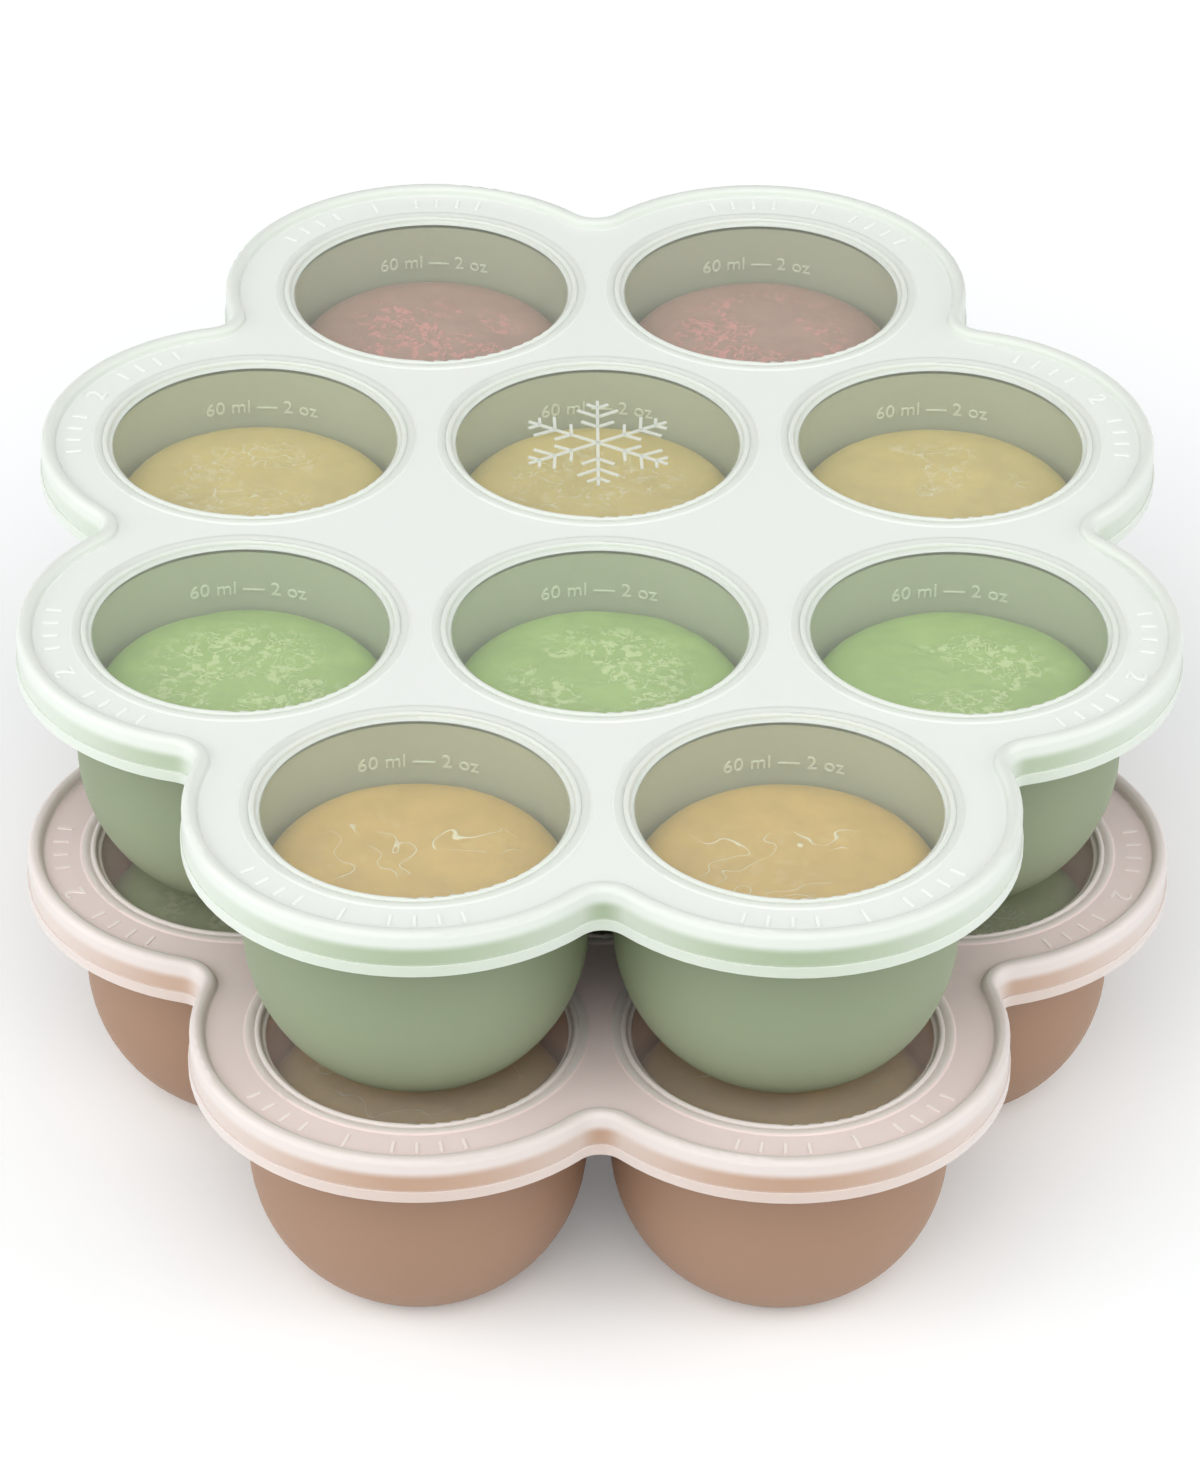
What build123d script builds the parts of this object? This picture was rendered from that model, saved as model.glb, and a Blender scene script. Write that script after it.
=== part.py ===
from build123d import *
import os
from math import asin, atan2, degrees, pi, sqrt

os.makedirs("parts", exist_ok=True)

# Two freezer trays for portions of baby food, one standing on the other. Each tray is one soft
# moulding with ten round cups, and each has a translucent soft lid. Lengths are millimetres.
# The origin is under the middle of the lower tray, on the surface that it stands on.

# ---- Cups -------------------------------------------------------------------------------
cup_radius = 27.2  # outside, at the widest line
cup_gap = 3.6  # between two neighbouring cups, at their widest lines
cup_swell = 1.2  # how much narrower the cup is at its neck, on the radius
cup_round_height = 21.7  # height of the widest line above the surface
cup_foot_radius = 15.7  # flat underside of a cup, before its edge is rounded
cup_foot_round = 2.0
cup_wall = 1.5
cup_floor = 1.6
cup_pitch = 2 * cup_radius + cup_gap  # centre to centre of neighbouring cups
mouth_radius = cup_radius - cup_swell - cup_wall

# ---- Tray -------------------------------------------------------------------------------
tray_height = 42.4  # from the surface to the face that the lid rests on
deck_thickness = 2.0
seal_height = 0.5  # the cup mouths and the edge stand this much above the deck
mouth_land = 0.9  # width of the seal outside the cup's neck
flange_drop = 0.3  # how far the tray's thicker outer edge reaches below its deck
flange_width = 2.6
flange_round = 0.6
web_thickness = 2.4
web_depth = 6.4  # the webs between cups, below the deck
web_bite = 0.6  # how far a web runs into the cup wall

# ---- Lid --------------------------------------------------------------------------------
lid_thickness = 1.5
window_thickness = 0.8
window_margin = 0.3  # how much wider than a cup's mouth a window is, on the radius
window_foot_round = 0.5
inner_bead_width = 1.0
inner_bead_height = 0.45
outer_bead_width = 1.8
outer_bead_height = 0.3
rim_reach = 8.9  # from the widest line of an outer cup to the skirt's outside
valley_radius = 4.5  # the skirt's outside, between two lobes
rim_width = 2.3
rim_height = 1.5  # above the lid's flat
rim_outer_round = 1.1
rim_inner_round = 0.9
rim_foot_round = 0.5
skirt_wall = 1.2
skirt_depth = 4.9  # below the face that rests on the tray
skirt_clearance = 0.3  # between the skirt and the tray's edge
lip_height = 2.0
lip_proud = 0.3
lip_round = 0.25
lobe_radius = cup_radius + rim_reach
window_radius = mouth_radius + window_margin

# ---- Portions of puree ------------------------------------------------------------------
fill_mark_height = 34.9  # the 60 ml level, above the cup's underside
fill_drop = 3.4  # the edge of a portion lies this much under the mark
fill_crown = 2.9  # and its middle stands this much above its edge
portion_clearance = 0.2

# ---- Layout -----------------------------------------------------------------------------
stack_clearance = 0.05  # between a window and the foot of the cup that stands on it
row_spacing = cup_pitch * sqrt(3) / 2  # from a row of three to the row of two beside it
end_row = cup_pitch / 2 + row_spacing
cup_places = {
    "back_left": (-cup_pitch / 2, end_row),
    "back_right": (cup_pitch / 2, end_row),
    "second_left": (-cup_pitch, cup_pitch / 2),
    "second_centre": (0.0, cup_pitch / 2),
    "second_right": (cup_pitch, cup_pitch / 2),
    "third_left": (-cup_pitch, -cup_pitch / 2),
    "third_centre": (0.0, -cup_pitch / 2),
    "third_right": (cup_pitch, -cup_pitch / 2),
    "front_left": (-cup_pitch / 2, -end_row),
    "front_right": (cup_pitch / 2, -end_row),
}
outer_cups = [
    "back_right", "second_right", "third_right", "front_right",
    "front_left", "third_left", "second_left", "back_left",
]
tier_height = tray_height + window_thickness + stack_clearance
tier_bases = {"lower": 0.0, "upper": tier_height}

# A tier's own heights, all above the surface that its cups stand on.
deck_top = tray_height - seal_height
deck_underside = deck_top - deck_thickness
flange_underside = deck_underside - flange_drop
edge_inset = skirt_wall + skirt_clearance  # from the skirt's outside to the tray's edge
skirt_foot = tray_height - skirt_depth
window_top = tray_height + window_thickness
lid_flat = tray_height + lid_thickness

# The cup's round runs from its widest line down to the edge of its foot, as one arc.
round_width = cup_radius - cup_foot_radius
cup_round = (round_width**2 + cup_round_height**2) / (2 * round_width)
# The wall's swell is one arc too, from the widest line up to the tray's top.
neck_rise = tray_height - cup_round_height
swell_arc = (cup_swell**2 + neck_rise**2) / (2 * cup_swell)


def wall_radius(inset, height):
    """Radius of the cup's wall above its widest line, pulled in from the outside by inset."""
    return cup_radius - swell_arc + sqrt((swell_arc - inset) ** 2 - (height - cup_round_height) ** 2)


def cup_section(inset, floor, top, crown=0.0):
    """Half of a cup's section, pulled in by inset: floor, round, wall and a flat or crowned top."""
    round_arc = cup_round - inset
    floor_angle = degrees(asin((cup_round_height - floor) / round_arc))
    top_radius = wall_radius(inset, top)
    top_angle = degrees(asin((top - cup_round_height) / (swell_arc - inset)))
    with BuildLine() as edge:
        low = CenterArc((cup_radius - cup_round, cup_round_height), round_arc, -floor_angle, floor_angle)
        CenterArc((cup_radius - swell_arc, cup_round_height), swell_arc - inset, 0, top_angle)
        if crown > 0:
            crown_arc = (top_radius**2 + crown**2) / (2 * crown)
            half_turn = degrees(asin(top_radius / crown_arc))
            CenterArc((0, top + crown - crown_arc), crown_arc, 90 - half_turn, half_turn)
        else:
            Line((top_radius, top), (0, top))
        Line((0, top + crown), (0, floor))
        Line((0, floor), low @ 0)
    return edge.line


def contents_below(height):
    """Millilitres that a cup holds below a height over its underside."""
    steps = 400
    slice_height = (height - cup_floor) / steps
    millilitres = 0.0
    for i in range(steps):
        level = cup_floor + (i + 0.5) * slice_height
        if level > cup_round_height:
            radius = wall_radius(cup_wall, level)
        else:
            drop = cup_round_height - level
            radius = cup_radius - cup_round + sqrt((cup_round - cup_wall) ** 2 - drop**2)
        millilitres += pi * radius**2 * slice_height / 1000
    return millilitres


def scalloped_outline(inset):
    """Outline of eight lobes around the outer cups with rounded valleys, pulled in by inset."""
    lobe, valley = lobe_radius - inset, valley_radius + inset
    reach = lobe + valley
    centres = [Vector(*cup_places[name]) for name in outer_cups]
    valleys = []
    for i, here in enumerate(centres):
        following = centres[(i + 1) % len(centres)]
        middle = (here + following) * 0.5
        outward = Vector(-(following - here).Y, (following - here).X).normalized()
        if outward.dot(middle) < 0:
            outward = outward * -1
        half_pitch = (following - here).length / 2
        valleys.append((middle + outward * sqrt(reach**2 - half_pitch**2), outward))
    with BuildLine() as outline:
        for i, here in enumerate(centres):
            following = centres[(i + 1) % len(centres)]
            before, _ = valleys[i - 1]
            after, outward = valleys[i]
            starts = here + (before - here) * (lobe / reach)
            ends = here + (after - here) * (lobe / reach)
            tip = here + ((starts - here) + (ends - here)).normalized() * lobe
            if (tip - here).dot(here) < 0:
                tip = here * 2 - tip
            ThreePointArc(starts, tip, ends)
            next_start = following + (after - following) * (lobe / reach)
            ThreePointArc(ends, after - outward * valley, next_start)
    return outline.line


def neighbours():
    """Middle and direction of each pair of cups that stand one pitch apart."""
    places = [Vector(*place) for place in cup_places.values()]
    pairs = []
    for i, a in enumerate(places):
        for b in places[i + 1:]:
            if abs((b - a).length - cup_pitch) < cup_pitch / 100:
                pairs.append(((a + b) * 0.5, degrees(atan2((b - a).Y, (b - a).X))))
    return pairs


def make_cup():
    """The outside of one cup, as a solid, with its foot's edge rounded."""
    with BuildPart() as cup:
        with BuildSketch(Plane.XZ):
            make_face(cup_section(0.0, 0.0, tray_height))
        revolve(axis=Axis.Z)
        fillet(cup.edges().group_by(Axis.Z)[0].sort_by(Edge.length)[-1], cup_foot_round)
    return cup.part


def make_cavity():
    """The space inside one cup, up to the tray's top."""
    with BuildPart() as cavity:
        with BuildSketch(Plane.XZ):
            make_face(cup_section(cup_wall, cup_floor, tray_height))
        revolve(axis=Axis.Z)
    return cavity.part


def make_web():
    """The web between two cups: a plate under the deck with an arched lower edge."""
    neck_gap = cup_pitch - 2 * wall_radius(0.0, deck_underside)
    web_top = deck_underside + deck_thickness / 2
    web_foot = deck_underside - web_depth
    with BuildPart() as web:
        with BuildSketch(Plane.XZ):
            with Locations((0, (web_top + web_foot) / 2)):
                Rectangle(neck_gap + 2 * web_bite, web_top - web_foot)
            with Locations((0, web_foot)):
                Circle(neck_gap / 2, mode=Mode.SUBTRACT)
        extrude(amount=web_thickness / 2, both=True)
    return web.part


def make_tray():
    """The tray: a scalloped deck with a thicker edge, ten cups, their seals and the webs."""
    cup, cavity, web = make_cup(), make_cavity(), make_web()
    with BuildPart() as tray:
        with BuildSketch(Plane.XY.offset(flange_underside)):
            make_face(scalloped_outline(edge_inset))
        extrude(amount=tray_height - flange_underside)
        levels = tray.edges().group_by(Axis.Z)
        fillet(levels[0] + levels[-1], flange_round)
        with BuildSketch(Plane.XY.offset(deck_top)):
            make_face(scalloped_outline(edge_inset + flange_width))
        extrude(amount=seal_height, mode=Mode.SUBTRACT)
        with BuildSketch(Plane.XY.offset(flange_underside)):
            make_face(scalloped_outline(edge_inset + flange_width))
        extrude(amount=flange_drop, mode=Mode.SUBTRACT)
        with BuildSketch(Plane.XY.offset(deck_underside + deck_thickness / 2)):
            with Locations(*cup_places.values()):
                Circle(wall_radius(0.0, tray_height) + mouth_land)
        extrude(amount=seal_height + deck_thickness / 2)
        with Locations(*cup_places.values()):
            add(cup)
        for middle, turn in neighbours():
            with Locations(Location((middle.X, middle.Y, 0), (0, 0, turn))):
                add(web)
        with Locations(*cup_places.values()):
            add(cavity, mode=Mode.SUBTRACT)
    return tray.part


def make_rings():
    """The double ring around a window: two rounded beads that stand on the lid's flat."""
    root = lid_flat - lid_thickness / 2
    beads = [(inner_bead_width, inner_bead_height), (outer_bead_width, outer_bead_height)]
    with BuildPart() as rings:
        inside = window_radius
        for width, rise in beads:
            outside = inside + width
            with BuildSketch(Plane.XZ):
                with BuildLine():
                    crest = ((inside + outside) / 2, lid_flat + rise)
                    ThreePointArc((inside, lid_flat), crest, (outside, lid_flat))
                    Polyline((outside, lid_flat), (outside, root), (inside, root), (inside, lid_flat))
                make_face()
            revolve(axis=Axis.Z)
            inside = outside
    return rings.part


def make_lid():
    """The lid: a flat with ten thin windows in double rings, a raised rim and a skirt with a lip."""
    rings = make_rings()
    with BuildPart() as lid:
        with BuildSketch(Plane.XY.offset(skirt_foot)):
            make_face(scalloped_outline(0.0))
        extrude(amount=lid_flat + rim_height - skirt_foot)
        fillet(lid.edges().group_by(Axis.Z)[-1], rim_outer_round)
        with BuildSketch(Plane.XY.offset(lid_flat)):
            make_face(scalloped_outline(rim_width))
        extrude(amount=rim_height, mode=Mode.SUBTRACT)
        rim_top = lid.faces().sort_by(Axis.Z)[-1]
        fillet(rim_top.inner_wires()[0].edges(), rim_inner_round)
        floor = lid.faces().filter_by(Plane.XY).group_by(Axis.Z)[-2].sort_by(SortBy.AREA)[-1]
        fillet(floor.edges(), rim_foot_round)
        with BuildSketch(Plane.XY.offset(skirt_foot)):
            make_face(scalloped_outline(-lip_proud))
        extrude(amount=lip_height)
        fillet(lid.edges().group_by(Axis.Z)[0], lip_round)
        with BuildSketch(Plane.XY.offset(skirt_foot)):
            make_face(scalloped_outline(skirt_wall))
        extrude(amount=skirt_depth, mode=Mode.SUBTRACT)
        with BuildSketch(Plane.XY.offset(window_top)):
            with Locations(*cup_places.values()):
                Circle(window_radius)
        extrude(amount=lid_thickness - window_thickness, mode=Mode.SUBTRACT)
        fillet(lid.edges(Select.LAST).group_by(Axis.Z)[0], window_foot_round)
        with Locations(*cup_places.values()):
            add(rings)
    return lid.part


def make_portion():
    """One portion of puree, with a crowned top, that fills a cup nearly to its mark."""
    inset, floor = cup_wall + portion_clearance, cup_floor + portion_clearance
    edge_height = fill_mark_height - fill_drop
    with BuildPart() as portion:
        with BuildSketch(Plane.XZ):
            make_face(cup_section(inset, floor, edge_height, fill_crown))
        revolve(axis=Axis.Z)
    return portion.part


def write_node(shape, place, height, name):
    """Sets one moulding or portion in its place and writes it under its own name."""
    with BuildPart() as node:
        with Locations((*place, height)):
            add(shape)
    node.part.label = name
    export_step(node.part, f"parts/{name}.step")


tray, lid, portion = make_tray(), make_lid(), make_portion()
for tier, base in tier_bases.items():
    write_node(tray, (0, 0), base, f"{tier}_tray")
    write_node(lid, (0, 0), base, f"{tier}_lid")
    for place_name, place in cup_places.items():
        write_node(portion, place, base, f"{tier}_puree_{place_name}")

print("a cup holds", round(contents_below(fill_mark_height), 1), "ml at its mark and",
      round(contents_below(tray_height), 1), "ml when brimful")
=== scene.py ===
# %% [markdown]
# # A pair of freezer trays for baby food
#
# The object is two soft silicone trays, one standing on the other. Each tray has ten round cups full
# of puree and a translucent lid. This lesson dresses the finished CAD model: the trays and lids keep
# their own shapes and get materials, and the purees, the raised markings and the light are made here.
# Every length below is in metres, and +Y points away from the viewer.

# %% Load the fixed frame
import math

import bmesh
import bpy
from mathutils import Matrix, Vector, noise


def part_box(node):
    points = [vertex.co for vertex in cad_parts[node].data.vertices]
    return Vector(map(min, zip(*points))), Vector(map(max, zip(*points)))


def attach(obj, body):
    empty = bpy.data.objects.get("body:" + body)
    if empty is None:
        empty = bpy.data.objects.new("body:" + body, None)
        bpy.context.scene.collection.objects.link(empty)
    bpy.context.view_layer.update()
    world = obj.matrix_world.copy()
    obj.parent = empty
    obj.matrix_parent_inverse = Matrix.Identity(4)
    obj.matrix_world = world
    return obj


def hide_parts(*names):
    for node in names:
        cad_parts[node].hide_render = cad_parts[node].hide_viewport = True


MM = 0.001
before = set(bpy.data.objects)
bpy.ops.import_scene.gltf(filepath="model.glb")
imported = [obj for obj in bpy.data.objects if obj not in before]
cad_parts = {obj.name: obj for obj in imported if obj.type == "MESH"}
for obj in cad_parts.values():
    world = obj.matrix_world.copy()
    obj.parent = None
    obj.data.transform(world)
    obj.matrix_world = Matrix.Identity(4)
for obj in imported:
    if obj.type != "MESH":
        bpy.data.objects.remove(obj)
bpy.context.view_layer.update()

# %% [markdown]
# ## Where the cups are
#
# Nothing here is placed by eye. Each portion of puree is a solid of the frame, so the middle of its box
# is the axis of its cup, and the height of a tray's top is the height of its lid's underside. All later
# places are worked out from these.

# %% Read the cups' places from the frame
TIERS = ("lower", "upper")
WINDOW_RADIUS = 24.8 * MM
WINDOW_THICKNESS = 0.8 * MM
LID_THICKNESS = 1.5 * MM
BEAD_HEIGHT = 0.45 * MM
FILL_MARK_HEIGHT = 34.9 * MM


def middle_of(node):
    """The middle of a node's box."""
    low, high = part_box(node)
    return (low + high) / 2


def cups_of(tier):
    """The places of a tier's ten cups, by the words for their row and column."""
    stem = f"{tier}_puree_"
    return {n[len(stem):]: middle_of(n) for n in sorted(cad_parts) if n.startswith(stem)}


cups = {tier: cups_of(tier) for tier in TIERS}
tray_foot = {tier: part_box(f"{tier}_tray")[0].z for tier in TIERS}
tray_top = {tier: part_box(f"{tier}_tray")[1].z for tier in TIERS}
cup_pitch = (cups["upper"]["front_right"] - cups["upper"]["front_left"]).length
print("the cups stand", round(cup_pitch / MM, 1), "mm apart")

# %% [markdown]
# ## The camera
#
# A long lens a metre away keeps the rows of cups nearly the same size, and it looks down at about a
# third of a right angle, so that one sees into the cups and under the rim at once. The camera is built
# from the point it looks at, two angles, a distance and a slight roll. It looks at the plane through
# the crests of the upper windows' rings.

# %% Make the camera
CAMERA_TARGET = Vector((-0.23 * MM, -60.0 * MM, tray_top["upper"] + LID_THICKNESS + BEAD_HEIGHT))
CAMERA_AZIMUTH = math.radians(-0.708)
CAMERA_ELEVATION = math.radians(34.227)
CAMERA_ROLL = math.radians(0.586)
CAMERA_DISTANCE = 971.7 * MM
CAMERA_LENS = 151.73
CAMERA_SENSOR = 36.0
CAMERA_NEAR, CAMERA_FAR = 0.05, 20.0


def make_camera():
    """A camera that looks at the target from its azimuth and elevation, turned by its roll."""
    level = math.cos(CAMERA_ELEVATION)
    side, height = math.sin(CAMERA_AZIMUTH) * level, math.sin(CAMERA_ELEVATION)
    back = Vector((side, -math.cos(CAMERA_AZIMUTH) * level, height))
    data = bpy.data.cameras.new("camera")
    data.sensor_fit = "AUTO"
    data.sensor_width = CAMERA_SENSOR
    data.lens = CAMERA_LENS
    data.clip_start, data.clip_end = CAMERA_NEAR, CAMERA_FAR
    camera = bpy.data.objects.new("camera", data)
    bpy.context.scene.collection.objects.link(camera)
    looking = (-back).to_track_quat("-Z", "Y").to_matrix().to_4x4()
    turn = looking @ Matrix.Rotation(CAMERA_ROLL, 4, "Z")
    camera.matrix_world = Matrix.Translation(CAMERA_TARGET + back * CAMERA_DISTANCE) @ turn
    bpy.context.scene.camera = camera
    return camera


camera = make_camera()
print("the camera stands at", [round(v, 3) for v in camera.location])

# %% [markdown]
# ## Shader maths as plain expressions
#
# A material's pattern is arithmetic on places and noise. One small class wraps a socket, so that an
# expression such as `1 - mask * 0.5` adds the Math nodes by itself, and a second class holds one
# material while its nodes are made. Colours go through Mix nodes, because Math nodes turn them grey.


# %% A socket with arithmetic
class Value:
    """A number that varies over a surface: an output socket that can be added, scaled and compared."""

    def __init__(self, finish, socket):
        self.finish, self.socket = finish, socket

    def math(self, operation, *others):
        return self.finish.node("ShaderNodeMath", {"operation": operation}, [self, *others])

    def __add__(self, other):
        return self.math("ADD", other)

    __radd__ = __add__

    def __mul__(self, other):
        return self.math("MULTIPLY", other)

    __rmul__ = __mul__

    def __sub__(self, other):
        return self.math("SUBTRACT", other)

    def __rsub__(self, other):
        return self.finish.node("ShaderNodeMath", {"operation": "SUBTRACT"}, [other, self])

    def __truediv__(self, other):
        return self.math("DIVIDE", other)

    def __pow__(self, other):
        return self.math("POWER", other)

    def __abs__(self):
        return self.math("ABSOLUTE")

    def least(self, other):
        return self.math("MINIMUM", other)

    def most(self, other):
        return self.math("MAXIMUM", other)

    def ramp(self, start, end):
        """0 before start, 1 after end, and a smooth rise between them."""
        settings = {"interpolation_type": "SMOOTHSTEP"}
        inputs = {"Value": self, "From Min": start, "From Max": end}
        return self.finish.node("ShaderNodeMapRange", settings, inputs)


# %% A material that makes its own nodes
class Finish:
    """One material while it is made. Its surface is a Principled shader."""

    def __init__(self, name):
        self.material = bpy.data.materials.new(name)
        self.material.use_nodes = True
        self.tree = self.material.node_tree
        self.surface = self.tree.nodes["Principled BSDF"]

    def plug(self, socket, value):
        """Links a Value to a socket, or writes a number or colour on it."""
        if isinstance(value, Value):
            self.tree.links.new(value.socket, socket)
        else:
            socket.default_value = value

    def node(self, kind, settings=None, inputs=None, output=0):
        """A new node: its settings first, then its inputs by order or by name. Returns an output."""
        made = self.tree.nodes.new(kind)
        for name, value in (settings or {}).items():
            setattr(made, name, value)
        given = enumerate(inputs) if isinstance(inputs, list) else (inputs or {}).items()
        for key, value in given:
            self.plug(made.inputs[key], value)
        return Value(self, made.outputs[output])

    def place(self):
        """The point's own place, in the object's coordinates."""
        return self.node("ShaderNodeTexCoord", output="Object")

    def facing(self):
        """The way the surface faces, in the object's coordinates."""
        return self.node("ShaderNodeTexCoord", output="Normal")

    def split(self, vector):
        """The three numbers of a vector."""
        first = self.node("ShaderNodeSeparateXYZ", None, [vector])
        return [Value(self, out) for out in first.socket.node.outputs]

    def noise(self, vector, scale, detail=2.0, roughness=0.5, twist=0.0):
        """Noise from 0 to 1 with that many waves to the metre."""
        inputs = {"Vector": vector, "Scale": scale, "Detail": detail}
        inputs |= {"Roughness": roughness, "Distortion": twist}
        return self.node("ShaderNodeTexNoise", None, inputs)

    def mix(self, share, first, second):
        """A colour that goes from the first to the second as share goes from 0 to 1."""
        made = self.tree.nodes.new("ShaderNodeMix")
        made.data_type = "RGBA"
        for key, value in (("Factor_Float", share), ("A_Color", first), ("B_Color", second)):
            self.plug(next(s for s in made.inputs if s.identifier == key), value)
        return Value(self, next(s for s in made.outputs if s.identifier == "Result_Color"))

    def varied(self, share, colour, spread):
        """A colour that goes from a little darker to a little lighter as share goes from 0 to 1."""
        return self.mix(share, shade(colour, 1 - spread), shade(colour, 1 + spread))

    def bump(self, height, distance, strength):
        """Tilts the surface's normal by a height from 0 to 1, where 1 is a distance in metres."""
        inputs = {"Strength": strength, "Distance": distance, "Height": height}
        self.set("Normal", self.node("ShaderNodeBump", None, inputs))

    def set(self, name, value):
        """Writes one socket of the surface."""
        self.plug(self.surface.inputs[name], value)


# %% Colours
def linear(red, green, blue):
    """A colour picked on a screen, from 0 to 255, as the linear numbers that shaders use."""

    def one(channel):
        share = channel / 255
        return share / 12.92 if share <= 0.04045 else ((share + 0.055) / 1.055) ** 2.4

    return (one(red), one(green), one(blue), 1.0)


BLACK, WHITE = linear(0, 0, 0), linear(255, 255, 255)


def shade(colour, factor):
    """A colour made darker or lighter."""
    return tuple(min(channel * factor, 1.0) for channel in colour[:3]) + (1.0,)


def wear(node_or_piece, finish):
    """Gives an object one material."""
    node_or_piece.data.materials.clear()
    node_or_piece.data.materials.append(finish.material)


# %% [markdown]
# ## The trays' silicone
#
# Silicone rubber is matt with a soft bright haze at grazing angles. Light goes a few millimetres into it,
# which keeps its shadows from going black, so the shader has some subsurface scattering. A thin wall
# also glows a little from the light behind it, and most of all inside a cup, where light comes in on
# every side. A brighter base colour on the inside of the cups stands for that. It is found by distance
# from the nearest cup's axis, and the cups are symmetric left to right and front to back, so three of
# them are enough once the signs of X and Y are dropped.

# %% Make the silicone and put it on the trays
SILICONE = {"lower": linear(161, 128, 105), "upper": linear(138, 149, 120)}
CUP_INSIDE_GLOW = {"lower": linear(228, 186, 158), "upper": linear(188, 195, 169)}
CLOUD_SCALE, SHEEN_SCALE, GRAIN_SCALE = 28.0, 90.0, 2600.0
GRAIN_DEPTH = 0.02 * MM
WALL_MIDDLE = 26.45 * MM
WALL_BLUR = 0.3 * MM
WALL_SWELL = 1.2 * MM
WALL_ROUND_HEIGHT = 21.7 * MM
INSIDE_FROM, INSIDE_TO = 25.0 * MM, 28.0 * MM


def nearest_axis(x, y):
    """The distance from a point to the axis of the nearest cup."""
    nearest = None
    for place in ("back_right", "second_centre", "second_right"):
        cup = cups["upper"][place]
        away = ((abs(x) - cup.x) ** 2 + (abs(y) - cup.y) ** 2) ** 0.5
        nearest = away if nearest is None else nearest.least(away)
    return nearest


def silicone(tier):
    """Soft matt rubber with a fine moulded grain, and a painted glow on the inside of the cups."""
    finish = Finish(f"silicone_{tier}")
    place = finish.place()
    x, y, z = finish.split(place)
    height = z - tray_foot[tier]
    neck_height = tray_top[tier] - tray_foot[tier] - WALL_ROUND_HEIGHT
    rise = (height - WALL_ROUND_HEIGHT) / neck_height
    straight = nearest_axis(x, y) + rise * rise * WALL_SWELL
    # Painted glow: a brighter base colour inside each cup, standing for the light that comes through the
    # thin wall and in on every side.
    inside = 1 - straight.ramp(WALL_MIDDLE - WALL_BLUR, WALL_MIDDLE + WALL_BLUR)
    inside = inside * height.ramp(INSIDE_FROM, INSIDE_TO)
    clouds = finish.noise(place, CLOUD_SCALE)
    outer = finish.varied(clouds, SILICONE[tier], 0.04)
    inner = finish.varied(clouds, CUP_INSIDE_GLOW[tier], 0.03)
    finish.set("Base Color", finish.mix(inside, outer, inner))
    finish.set("Roughness", 0.5 + 0.12 * finish.noise(place, SHEEN_SCALE))
    finish.set("Subsurface Weight", 0.2)
    finish.set("Subsurface Radius", (1.0, 0.8, 0.6))
    finish.set("Subsurface Scale", 3.0 * MM)
    finish.set("Specular IOR Level", 0.42)
    finish.bump(finish.noise(place, GRAIN_SCALE, 3.0), GRAIN_DEPTH, 0.4)
    return finish


for tier in TIERS:
    wear(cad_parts[f"{tier}_tray"], silicone(tier))
print("inside, the cups are brighter from", round(INSIDE_FROM / MM), "mm up")

# %% [markdown]
# ## The lids' milky silicone
#
# A lid is one moulding, but it doesn't look the same all over. Over the cups it is a thin clear window,
# over the deck it is thick and milky, and in the skirt the tray's coloured edge shows through, most
# where the skirt faces the front or the back. One material does it all: Alpha and the colour are worked
# out from the distance to the nearest cup's axis and from the height above the tray's top. The underside
# stays clear, so that a lid hides what is under it only once. Milky rubber scatters the light inside
# itself, so most of the shader's weight is on scattering.

# %% Make the lids' material
LID_HAZE = {"lower": linear(255, 229, 227), "upper": linear(241, 248, 240)}
# The rim's colour is a painted shade: a haze darker than the lid's own.
PAINTED_RIM_SHADE = {"lower": linear(230, 221, 217), "upper": linear(227, 232, 225)}
BAND_TINT = {"lower": linear(206, 173, 149), "upper": linear(184, 200, 170)}
WINDOW_ALPHA = {"lower": 0.15, "upper": 0.1}
FLAT_ALPHA, BAND_ALPHA = 0.95, 0.8
BAND_TOP, BAND_FOOT, BAND_BLUR = 0.1 * MM, -2.8 * MM, 0.8 * MM
BAND_SIDE_SHARE = 0.15
BAND_POWER = 4
LIP_SHARE = 0.35
RIM_EDGE = (WINDOW_RADIUS + 7.5 * MM, WINDOW_RADIUS + 8.5 * MM)
MIDDLE_EDGE = (50.0 * MM, 60.0 * MM)
RING_EDGE = (27.0 * MM, 27.5 * MM)
WINDOW_EDGE = (WINDOW_RADIUS - 0.95 * MM, WINDOW_RADIUS - 0.5 * MM)
UNDERSIDE_EDGE = (0.1 * MM, 0.3 * MM)
OFF_FLAT = (0.1 * MM, 0.5 * MM)
LEVEL_FACE = (0.8, 0.95)
LID_CLOUD_SCALE, LID_SHEEN_SCALE, LID_GRAIN_SCALE = 22.0, 60.0, 2200.0
LID_GRAIN_DEPTH = 0.015 * MM


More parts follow.
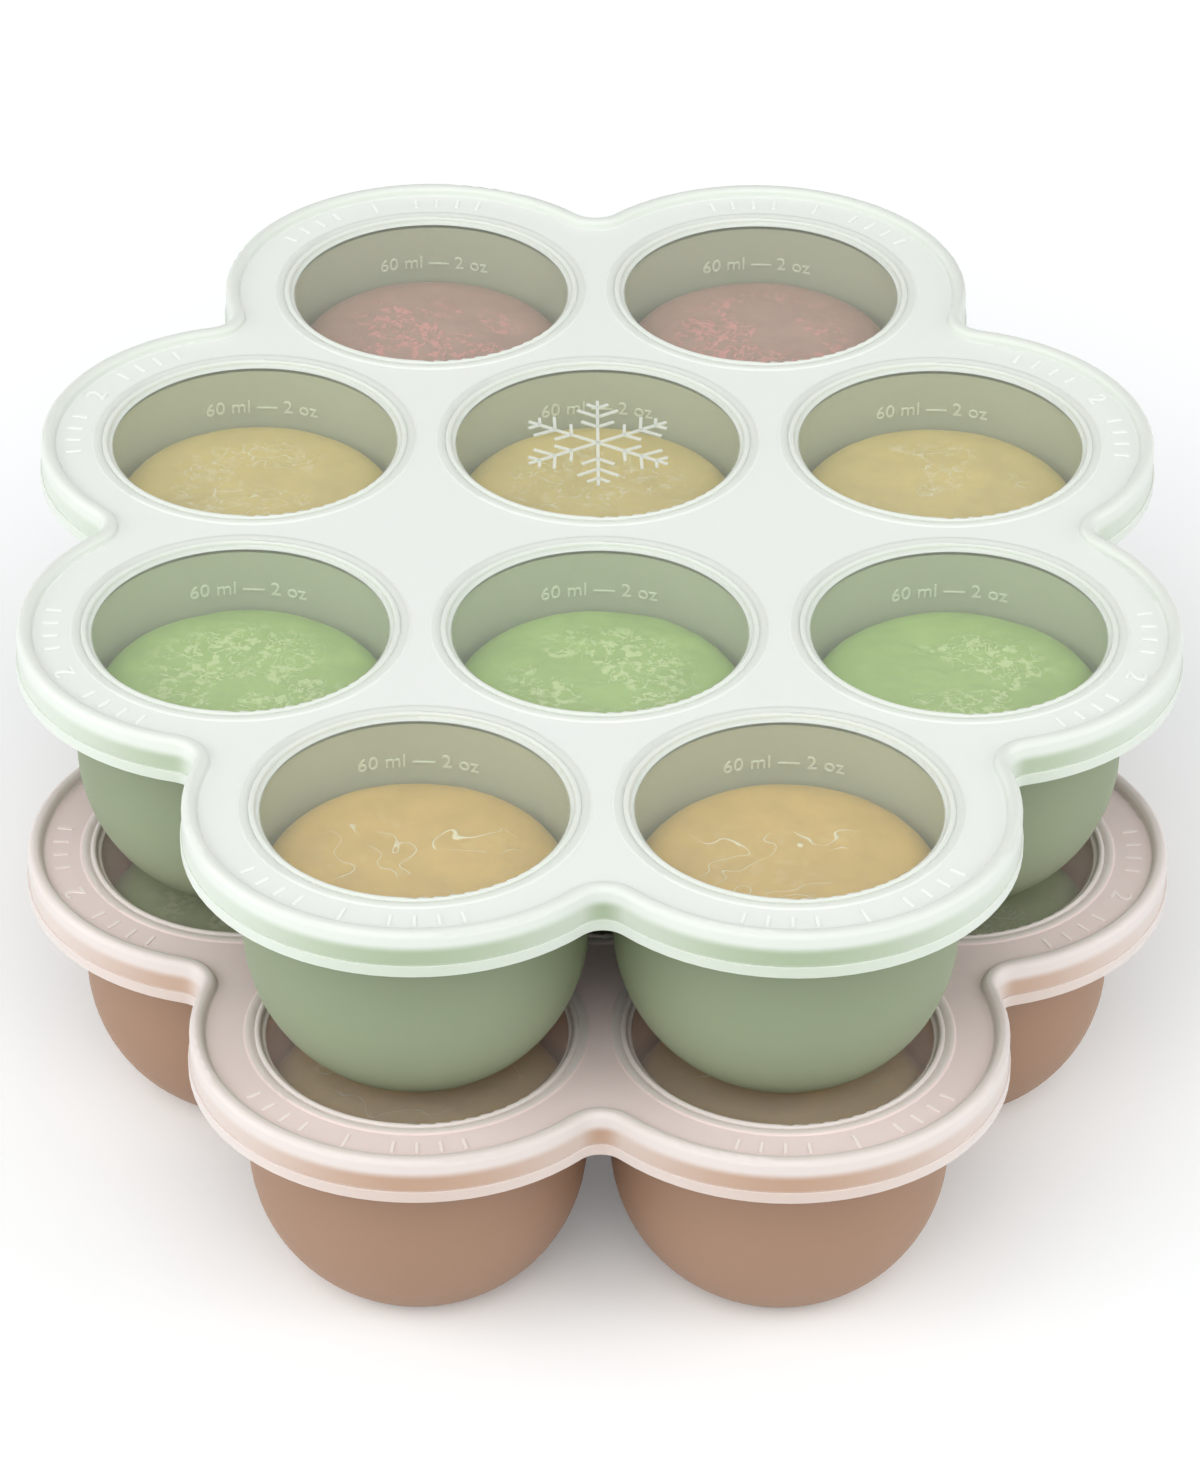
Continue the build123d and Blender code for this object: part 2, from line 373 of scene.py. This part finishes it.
def lid_silicone(tier):
    """Translucent rubber, clear in the windows, milky on the flat, tinted in the skirt, with painted shade
    on the rim.
    """
    finish = Finish(f"lid_{tier}")
    place = finish.place()
    x, y, z = finish.split(place)
    nearest = nearest_axis(x, y)
    level = z - tray_top[tier]
    from_middle = (x * x + y * y) ** 0.5
    _, ahead, up = finish.split(finish.facing())

    # Where a point is: at the rim, on the flat, in a ring round a window, or in the skirt's band.
    at_rim = nearest.ramp(*RIM_EDGE) * from_middle.ramp(*MIDDLE_EDGE)
    above = abs(level).ramp(*UNDERSIDE_EDGE).most(at_rim)
    flat = above * nearest.ramp(*WINDOW_EDGE)
    off_flat = abs(level - LID_THICKNESS).ramp(*OFF_FLAT).most(1 - up.ramp(*LEVEL_FACE))
    in_ring = 1 - nearest.ramp(*RING_EDGE)
    under = 1 - level.ramp(BAND_TOP - BAND_BLUR, BAND_TOP + BAND_BLUR)
    over_lip = level.ramp(BAND_FOOT - BAND_BLUR / 2, BAND_FOOT + BAND_BLUR / 2)
    over_lip = LIP_SHARE + (1 - LIP_SHARE) * over_lip
    turned = BAND_SIDE_SHARE + (1 - BAND_SIDE_SHARE) * abs(ahead) ** BAND_POWER
    band = under * over_lip * at_rim * turned

    clear = WINDOW_ALPHA[tier]
    finish.set("Alpha", clear + (FLAT_ALPHA - clear) * flat - (FLAT_ALPHA - BAND_ALPHA) * band)
    haze = finish.varied(finish.noise(place, LID_CLOUD_SCALE, 3.0), LID_HAZE[tier], 0.02)
    # Painted shade: a darker haze on the rim's crest and sides, on the skirt and on the rings round the
    # windows, where the lamps would light them brightest.
    haze = finish.mix((at_rim * off_flat).most(in_ring), haze, PAINTED_RIM_SHADE[tier])
    finish.set("Base Color", finish.mix(band, haze, BAND_TINT[tier]))
    finish.set("Roughness", 0.36 + 0.14 * finish.noise(place, LID_SHEEN_SCALE))
    finish.set("Subsurface Weight", 0.8)
    finish.set("Subsurface Radius", (1.0, 1.0, 1.0))
    finish.set("Subsurface Scale", 0.6 * MM)
    finish.set("Specular IOR Level", 0.4)
    finish.bump(finish.noise(place, LID_GRAIN_SCALE, 3.0), LID_GRAIN_DEPTH, 0.4)
    return finish


for tier in TIERS:
    wear(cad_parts[f"{tier}_lid"], lid_silicone(tier))
print("the windows let through", [round(1 - alpha, 2) for alpha in WINDOW_ALPHA.values()])

# %% [markdown]
# ## The purees
#
# A spooned puree settles nearly flat and rounds off only close to the cup's wall. Its top has soft
# swells, and near its middle small lumps and ridges, raised by a bump and picked out by pale painted
# glints of light. Each portion is spun from a half section, and the points of its top are lifted by
# layers of noise. The pale marks are painted highlights too fine for the mesh, so the material draws
# them: thin lines along one level of a noise, and spots, both only inside scattered patches.

# %% Describe the four purees
# Each puree's mark colour is the pale colour of its painted glints of light.
PUREES = {
    "back": {
        "colour": linear(184, 148, 132), "mark": linear(238, 164, 154), "gloss": 0.36, "lump": 0.50,
        "lump_and_glint": 0.7, "patch": 0.40,
        "ridge_and_glint": 0.9, "crease_detail": 2.5, "crease_scale": 260.0, "crease_width": 0.020,
    },
    "second": {
        "colour": linear(218, 198, 120), "mark": linear(238, 232, 190), "gloss": 0.36, "lump": 0.35,
        "lump_and_glint": 0.3, "patch": 0.46,
        "ridge_and_glint": 0.8, "crease_detail": 1.5, "crease_scale": 240.0, "crease_width": 0.018,
    },
    "third": {
        "colour": linear(170, 202, 117), "mark": linear(224, 242, 178), "gloss": 0.34, "lump": 0.65,
        "lump_and_glint": 0.7, "patch": 0.42,
        "ridge_and_glint": 0.8, "crease_detail": 2.5, "crease_scale": 300.0, "crease_width": 0.020,
    },
    "front": {
        "colour": linear(220, 186, 104), "mark": linear(248, 242, 204), "gloss": 0.34, "lump": 0.35,
        "lump_and_glint": 0.1, "patch": 0.52,
        "ridge_and_glint": 1.0, "crease_detail": 0.3, "crease_scale": 150.0, "crease_width": 0.012,
    },
}
MARKED_EDGE = (11.4 * MM, 19.0 * MM)
PATCH_SCALE, PATCH_BLUR = 85.0, 0.07
CREASE_MIDDLE, CREASE_ROUGHNESS, CREASE_TWIST = 0.5, 0.55, 0.6
BLOTCH_SCALE, BLOTCH_EDGE = 520.0, (0.52, 0.60)
MOTTLE_SCALE, MOTTLE_EDGE, MOTTLE_SPREAD = 140.0, (0.3, 0.7), 0.07
GLOSS_SCALE, GLOSS_SPREAD = 500.0, 0.2
PULP_SCALE, PULP_SHARE, PULP_DEPTH = 700.0, 0.4, 0.2 * MM


def puree_finish(row, look):
    """Food under a thin gloss: a quiet mottle, and painted glints on raised spots and lines in patches."""
    finish = Finish(f"puree_{row}")
    place = finish.place()
    x, y, _ = finish.split(place)
    inner = 1 - nearest_axis(x, y).ramp(*MARKED_EDGE)
    scatter = finish.noise(place, PATCH_SCALE, 1.0)
    patch = inner * scatter.ramp(look["patch"], look["patch"] + PATCH_BLUR)
    level = finish.noise(
        place, look["crease_scale"], look["crease_detail"], CREASE_ROUGHNESS, CREASE_TWIST
    )
    off_line = abs(level - CREASE_MIDDLE)
    ridge_and_glint = 1 - off_line.ramp(look["crease_width"] / 3, look["crease_width"])
    lump_and_glint = finish.noise(place, BLOTCH_SCALE, 3.0, 0.6).ramp(*BLOTCH_EDGE)
    # Painted highlight: the pale marks are glints of light painted into the colour, on spots and lines that
    # the bump below also raises.
    marks = patch * (ridge_and_glint * look["ridge_and_glint"]).most(lump_and_glint * look["lump_and_glint"])
    mottle = finish.noise(place, MOTTLE_SCALE, 4.0, 0.65).ramp(*MOTTLE_EDGE)
    flesh = finish.varied(mottle, look["colour"], MOTTLE_SPREAD)
    finish.set("Base Color", finish.mix(marks, flesh, look["mark"]))
    finish.set("Roughness", look["gloss"] + GLOSS_SPREAD * finish.noise(place, GLOSS_SCALE))
    finish.set("Subsurface Weight", 0.2)
    finish.set("Subsurface Radius", (1.0, 0.7, 0.4))
    finish.set("Subsurface Scale", 2.0 * MM)
    pulp = finish.noise(place, PULP_SCALE, 4.0, 0.6)
    finish.bump(pulp * PULP_SHARE + marks, PULP_DEPTH, 0.6)
    return finish


puree_finishes = {row: puree_finish(row, look) for row, look in PUREES.items()}


# %% Turn a bmesh into a piece
def new_piece(name, shape, finish, body):
    """Turns a bmesh into an object of its own that rides on a body."""
    mesh = bpy.data.meshes.new(name)
    shape.to_mesh(mesh)
    shape.free()
    piece = bpy.data.objects.new(name, mesh)
    bpy.context.scene.collection.objects.link(piece)
    wear(piece, finish)
    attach(piece, body)
    return piece


# %% Spin a portion and stir its top
TURNS = 160
CROWN_RINGS = 40
SHOULDER = 7.0 * MM
SHOULDER_POWER = 12
TOP_MARGIN = 0.45 * MM
WALL_GAP = 0.15 * MM
WELD = 0.01 * MM
CALM_POWER = 6
SWELL, RIPPLE, GRAIN = 0.07, 0.22, 0.6  # waves to the millimetre
SWELL_SHARE, RIPPLE_SHARE, GRAIN_SHARE = 0.9, 0.4, 0.18
SEED_STEP, TIER_SEED_STEP = 3.7, 41.0


def half_section(node):
    """A portion's axis, and points of its half section from the middle of its top to that of its foot.

    The wall is read from the plain solid, as its reach at each whole millimetre of height.
    """
    low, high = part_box(node)
    axis = middle_of(node)
    wall = {}
    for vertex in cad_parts[node].data.vertices:
        level = round((vertex.co.z - low.z) / MM)
        away = math.hypot(vertex.co.x - axis.x, vertex.co.y - axis.y)
        wall[level] = max(wall.get(level, 0.0), away)
    reach = (high.x - low.x) / 2 - WALL_GAP
    shares = [i / (CROWN_RINGS - 1) for i in range(CROWN_RINGS)]
    points = [(s * reach, high.z - TOP_MARGIN - SHOULDER * s**SHOULDER_POWER) for s in shares]
    top_level = (points[-1][1] - low.z) / MM
    levels = sorted((level for level in wall if level < top_level - 1), reverse=True)
    points += [(wall[level] - WALL_GAP, low.z + level * MM) for level in levels]
    points.append((0.0, low.z))
    return axis, points


def stir(point, axis, look, seed, reach):
    """How far a point of the top is lifted: soft swells and small lumps that calm down at the edge."""
    x, y = point.x - axis.x, point.y - axis.y
    calm = max(0.0, 1.0 - (math.hypot(x, y) / reach) ** CALM_POWER)
    spot = Vector((x, y, seed)) / MM
    lift = SWELL_SHARE * noise.noise(spot * SWELL + Vector((seed, 0, 0)))
    lift += RIPPLE_SHARE * noise.noise(spot * RIPPLE + Vector((0, seed, 0)))
    lift += GRAIN_SHARE * noise.noise(spot * GRAIN)
    return look["lump"] * lift * calm * MM


def make_puree(tier, place, seed):
    """One portion, spun about its cup's axis, in place of its plain solid."""
    node = f"{tier}_puree_{place}"
    row = place.split("_")[0]
    axis, section = half_section(node)
    shape = bmesh.new()
    corners = [shape.verts.new((axis.x + away, axis.y, height)) for away, height in section]
    edges = [shape.edges.new(pair) for pair in zip(corners, corners[1:])]
    bmesh.ops.spin(
        shape, geom=corners + edges, cent=axis, axis=(0, 0, 1), angle=math.tau, steps=TURNS, use_merge=True
    )
    bmesh.ops.remove_doubles(shape, verts=shape.verts, dist=WELD)
    bmesh.ops.recalc_face_normals(shape, faces=shape.faces)
    reach, edge_height = section[CROWN_RINGS - 1]
    for vertex in shape.verts:
        if vertex.co.z > edge_height:
            vertex.co.z += stir(vertex.co, axis, PUREES[row], seed, reach)
    for face in shape.faces:
        face.smooth = True
    name, body = f"{tier}_food_{place}", f"{tier}_tray"
    piece = new_piece(name, shape, puree_finishes[row], body)
    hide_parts(node)


for tier in TIERS:
    for number, place in enumerate(cups[tier]):
        make_puree(tier, place, SEED_STEP * number + TIER_SEED_STEP * TIERS.index(tier))
print("twenty portions are spun")

# %% [markdown]
# ## The raised markings
#
# Three kinds of marking stand a little proud of the silicone: the fill mark on the back wall of each
# cup, a numeral between ticks on each lobe of a lid, and a snowflake on one window. All of them start
# as flat figures, from Blender's own font or from bars, with a thickness. Each is then carried point by
# point to where it belongs: bent round the cup's wall, turned about the cup's axis, or just laid down.

# %% Flat figures with a thickness
FONT_STEPS = 3
CAPITAL_SHARE = 0.7  # a capital's height, as a share of the font's size
FINE_WELD = 0.001 * MM


def figures(text, height, relief):
    """A line of text as a closed mesh, its middle at the origin, its letters along X and tops to Y."""
    curve = bpy.data.curves.new("figures", "FONT")
    curve.body = text
    curve.align_x, curve.align_y = "CENTER", "CENTER"
    curve.size = height / CAPITAL_SHARE
    curve.extrude = relief / 2
    curve.resolution_u = FONT_STEPS
    flat = bpy.data.objects.new("figures", curve)
    bpy.context.scene.collection.objects.link(flat)
    mesh = bpy.data.meshes.new_from_object(flat)
    shape = bmesh.new()
    shape.from_mesh(mesh)
    bmesh.ops.remove_doubles(shape, verts=shape.verts, dist=FINE_WELD)
    bpy.data.objects.remove(flat)
    bpy.data.curves.remove(curve)
    bpy.data.meshes.remove(mesh)
    return shape


def pointing(turn):
    """A unit vector along Y, turned about Z."""
    return Vector((-math.sin(turn), math.cos(turn), 0))


def add_bar(shape, length, width, relief, place, turn):
    """Adds a bar that lies along Y, with its middle at a place, turned about Z."""
    size = Matrix.Diagonal((width, length, relief, 1.0))
    where = Matrix.Translation(place) @ Matrix.Rotation(turn, 4, "Z") @ size
    bmesh.ops.create_cube(shape, size=1.0, matrix=where)


def place_points(shape, carry):
    """Moves every point of a shape by a function, and makes its faces point outwards."""
    for vertex in shape.verts:
        vertex.co = carry(vertex.co)
    bmesh.ops.recalc_face_normals(shape, faces=shape.faces)
    return shape


# %% Fill marks on the cups' back walls
MARK_TEXT = "60 ml — 2 oz"
MARK_HEIGHT = 2.5 * MM
MARK_RELIEF = 0.45 * MM
# Painted highlight: the fill marks are painted lighter than the cup's wall, as if their raised faces caught
# the light.
LIT_MARK_COLOUR = {"lower": linear(240, 214, 195), "upper": linear(229, 236, 213)}
FIGURE_CLOUD_SCALE = 60.0


def wall_at(tier, cup, height):
    """How far the back wall of a cup is from its axis at a height, by a ray from the axis."""
    start = Vector((cup.x, cup.y, height))
    hit, where, _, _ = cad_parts[f"{tier}_tray"].ray_cast(start, Vector((0, 1, 0)))
    return where.y - cup.y if hit else WINDOW_RADIUS


def make_fill_mark(tier, place, cup):
    """The line of text that marks the 60 ml level, bent round the cup's wall."""
    level = tray_foot[tier] + FILL_MARK_HEIGHT
    wall = wall_at(tier, cup, level)
    lean = (wall_at(tier, cup, level + MARK_HEIGHT) - wall) / MARK_HEIGHT

    def bend(point):
        angle = point.x / wall
        away = wall + lean * point.y - point.z
        across, ahead = away * math.sin(angle), away * math.cos(angle)
        return Vector((cup.x + across, cup.y + ahead, level + point.y))

    shape = place_points(figures(MARK_TEXT, MARK_HEIGHT, MARK_RELIEF), bend)
    return new_piece(f"{tier}_mark_{place}", shape, mark_finishes[tier], f"{tier}_tray")


def mark_finish(tier):
    """The cups' silicone where it stands proud, painted lighter than the wall as a painted highlight."""
    finish = Finish(f"mark_{tier}")
    clouds = finish.noise(finish.place(), FIGURE_CLOUD_SCALE)
    finish.set("Base Color", finish.varied(clouds, LIT_MARK_COLOUR[tier], 0.03))
    finish.set("Roughness", 0.45 + 0.1 * clouds)
    return finish


mark_finishes = {tier: mark_finish(tier) for tier in TIERS}
for tier in TIERS:
    for place, cup in cups[tier].items():
        make_fill_mark(tier, place, cup)
print("the fill marks are", round(FILL_MARK_HEIGHT / MM, 1), "mm over the cups' feet")

# %% Numerals and ticks on the lids' lobes
NUMERALS = {"front": "1", "back": "1", "second": "2", "third": "2"}
NUMERAL_HEIGHT = 3.4 * MM
NUMERAL_RING = 30.7 * MM
TICK_LENGTH, TICK_WIDTH = 2.6 * MM, 0.5 * MM
TICK_ANGLES = (14.0, 21.0, 28.0, 35.0)
LOBE_RELIEF = 0.3 * MM
RELIEF_COLOUR = {"lower": linear(255, 240, 237), "upper": linear(246, 251, 245)}


def make_lobe_marks(tier):
    """One piece for a lid: on each outer cup's lobe, a numeral between two rows of ticks."""
    flat_top = tray_top[tier] + LID_THICKNESS
    whole = bmesh.new()
    for place, cup in cups[tier].items():
        if place.endswith("centre"):
            continue
        outward = math.atan2(cup.y, cup.x) - math.pi / 2
        shape = figures(NUMERALS[place.split("_")[0]], NUMERAL_HEIGHT, LOBE_RELIEF)
        bmesh.ops.translate(shape, verts=shape.verts, vec=(0, NUMERAL_RING, 0))
        for angle in TICK_ANGLES:
            for side in (-1, 1):
                turn = math.radians(side * angle)
                spot = pointing(turn) * NUMERAL_RING
                add_bar(shape, TICK_LENGTH, TICK_WIDTH, LOBE_RELIEF, spot, turn)
        where = Matrix.Translation((cup.x, cup.y, flat_top)) @ Matrix.Rotation(outward, 4, "Z")
        place_points(shape, lambda point: where @ point)
        lobe = bpy.data.meshes.new("lobe")
        shape.to_mesh(lobe)
        shape.free()
        whole.from_mesh(lobe)
        bpy.data.meshes.remove(lobe)
    return new_piece(f"{tier}_lobe_marks", whole, relief_finishes[tier], f"{tier}_lid")


def relief_finish(tier, name, alpha):
    """The lid's silicone in its raised figures."""
    finish = Finish(f"{name}_{tier}")
    clouds = finish.noise(finish.place(), FIGURE_CLOUD_SCALE)
    finish.set("Base Color", finish.varied(clouds, RELIEF_COLOUR[tier], 0.02))
    finish.set("Roughness", 0.4 + 0.1 * clouds)
    finish.set("Alpha", alpha)
    return finish


relief_finishes = {tier: relief_finish(tier, "relief", 1.0) for tier in TIERS}
for tier in TIERS:
    make_lobe_marks(tier)
print("each lobe has a numeral and", 2 * len(TICK_ANGLES), "ticks")

# %% A snowflake on one window
FLAKE_RADIUS = 13.5 * MM
FLAKE_LINE = 0.55 * MM
FLAKE_RELIEF = 0.3 * MM
FLAKE_ALPHA = 0.5
FLAKE_ARMS = 6
FLAKE_BRANCHES = ((0.38, 0.24), (0.62, 0.30), (0.84, 0.16))  # start and length, as shares of an arm
BRANCH_ANGLE = math.radians(58.0)


def make_snowflake(tier, place="second_centre"):
    """Bars across the middle are two arms each, and every arm has three pairs of branches."""
    cup = cups[tier][place]
    shape = bmesh.new()
    turns = [math.tau * arm / FLAKE_ARMS for arm in range(FLAKE_ARMS)]
    for turn in turns[:FLAKE_ARMS // 2]:
        add_bar(shape, FLAKE_RADIUS * 2, FLAKE_LINE, FLAKE_RELIEF, Vector(), turn)
    for turn in turns:
        for start, length in FLAKE_BRANCHES:
            for side in (-1, 1):
                lean = turn + side * BRANCH_ANGLE
                root = pointing(turn) * start * FLAKE_RADIUS
                branch = pointing(lean) * length * FLAKE_RADIUS
                add_bar(shape, branch.length, FLAKE_LINE, FLAKE_RELIEF, root + branch / 2, lean)
    middle = Vector((cup.x, cup.y, tray_top[tier] + WINDOW_THICKNESS))
    place_points(shape, lambda point: point + middle)
    return new_piece(f"{tier}_snowflake", shape, flake_finishes[tier], f"{tier}_lid")


flake_finishes = {tier: relief_finish(tier, "flake", FLAKE_ALPHA) for tier in TIERS}
for tier in TIERS:
    make_snowflake(tier)
print("a snowflake is", round(2 * FLAKE_RADIUS / MM), "mm across")

# %% [markdown]
# ## Floor, backdrop and light
#
# The trays stand on a plain white table under broad studio light. About half of the light comes from the
# world, and so from everywhere. A large lamp far off in front and above gives the other half with the
# soft shadow, and a weak lamp on each side rounds the cups. The floor and the background look white
# because the camera sees a little extra brightness there, most of it far from the trays, and not because
# more light falls on the trays.

# %% Make the floor, the world and the lamps
WORLD_STRENGTH = 0.42
KEY_POWER = 48.0
KEY_PLACE = (-0.3, -1.75, 1.95)
KEY_SIZE = 2.6
LEFT_POWER, LEFT_PLACE = 3.0, (-0.9, -0.2, 0.35)
RIGHT_POWER, RIGHT_PLACE = 2.8, (0.9, -0.2, 0.4)
SIDE_SIZE = 0.7
FLOOR_REACH = 4.0
FLOOR_WHITES = (linear(246, 249, 250), linear(248, 251, 252))
FLOOR_CLOUD_SCALE = 3.0
FLOOR_LIFT, FAR_LIFT = 0.12, 0.6
FAR_FROM, FAR_TO = 0.15, 0.6


def showing_rays(tree):
    """1 for the rays that show a thing to the camera, straight or by way of a gloss or glass, else 0."""
    rays = tree.nodes.new("ShaderNodeLightPath")
    shown = rays.outputs["Is Camera Ray"]
    for kind in ("Is Glossy Ray", "Is Transmission Ray"):
        either = tree.nodes.new("ShaderNodeMath")
        either.operation = "MAXIMUM"
        tree.links.new(shown, either.inputs[0])
        tree.links.new(rays.outputs[kind], either.inputs[1])
        shown = either.outputs["Value"]
    return shown


def make_floor():
    """A large white sheet under the trays, a little brighter to the camera than it is lit."""
    shape = bmesh.new()
    bmesh.ops.create_grid(shape, x_segments=2, y_segments=2, size=FLOOR_REACH)
    mesh = bpy.data.meshes.new("floor")
    shape.to_mesh(mesh)
    shape.free()
    floor = bpy.data.objects.new("floor", mesh)
    bpy.context.scene.collection.objects.link(floor)
    finish = Finish("floor")
    place = finish.place()
    x, y, _ = finish.split(place)
    far = ((x * x + y * y) ** 0.5).ramp(FAR_FROM, FAR_TO)
    near_share = FLOOR_LIFT / FAR_LIFT
    share = near_share + (1 - near_share) * far
    shown = Value(finish, showing_rays(finish.tree)) * share
    clouds = finish.noise(place, FLOOR_CLOUD_SCALE)
    finish.set("Base Color", finish.mix(clouds, *FLOOR_WHITES))
    finish.set("Roughness", 0.7)
    finish.set("Specular IOR Level", 0.2)
    finish.set("Emission Color", finish.mix(shown, BLACK, WHITE))
    finish.set("Emission Strength", FAR_LIFT)
    wear(floor, finish)


def make_lamp(name, place, size, power):
    """A square soft lamp that looks at the trays."""
    data = bpy.data.lights.new(name, "AREA")
    data.size, data.energy = size, power
    lamp = bpy.data.objects.new(name, data)
    bpy.context.scene.collection.objects.link(lamp)
    lamp.location = place
    lamp.rotation_euler = (-Vector(place)).to_track_quat("-Z", "Y").to_euler()


def make_world():
    """White light from everywhere, and a white background for the camera."""
    world = bpy.data.worlds.new("world")
    world.use_nodes = True
    tree = world.node_tree
    strength = tree.nodes.new("ShaderNodeMapRange")
    strength.inputs["To Min"].default_value = WORLD_STRENGTH
    strength.inputs["To Max"].default_value = 1.0
    tree.links.new(showing_rays(tree), strength.inputs["Value"])
    background = tree.nodes["Background"]
    background.inputs["Color"].default_value = WHITE
    tree.links.new(strength.outputs["Result"], background.inputs["Strength"])
    bpy.context.scene.world = world


make_floor()
make_world()
make_lamp("key", KEY_PLACE, KEY_SIZE, KEY_POWER)
make_lamp("left", LEFT_PLACE, SIDE_SIZE, LEFT_POWER)
make_lamp("right", RIGHT_PLACE, SIDE_SIZE, RIGHT_POWER)
bpy.context.scene.view_settings.view_transform = "Standard"
